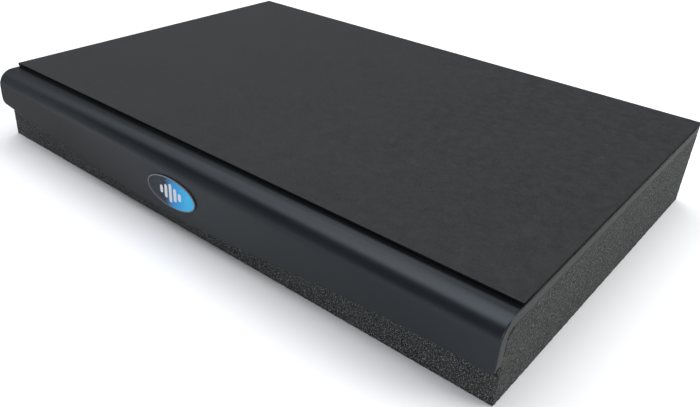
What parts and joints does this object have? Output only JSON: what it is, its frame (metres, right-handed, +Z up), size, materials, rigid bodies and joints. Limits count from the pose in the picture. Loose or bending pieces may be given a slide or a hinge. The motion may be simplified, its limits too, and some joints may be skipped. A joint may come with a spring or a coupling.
{
  "type": "monitor isolation platform",
  "caption": "Low wedge-shaped isolation platform: dense foam under a steel plate with a bent front lip, topped by a thin non-slip rubber pad and a small oval badge.",
  "frame": {"origin": "middle of the object's box, on the surface that the foam rests on", "axes": "+Z up, +X to the right along the lip, -Y to the front, where the lip is"},
  "size_m": [0.4, 0.2718, 0.059],
  "materials": {
    "foam": "matte",
    "contact_adhesive": "matte",
    "powder_coated_steel": "satin",
    "film_adhesive": "matte",
    "pad_rubber": "matte",
    "badge_adhesive": "matte",
    "badge_print": "gloss",
    "badge_resin": "gloss"
  },
  "bodies": {
    "root": {"foam_base": "foam", "foam_bond_film": "contact_adhesive", "steel_plate": "powder_coated_steel", "pad_bond_film": "film_adhesive", "top_pad": "pad_rubber", "badge_bond_film": "badge_adhesive", "badge_label": "badge_print", "badge_dome": "badge_resin"}
  },
  "joints": []
}
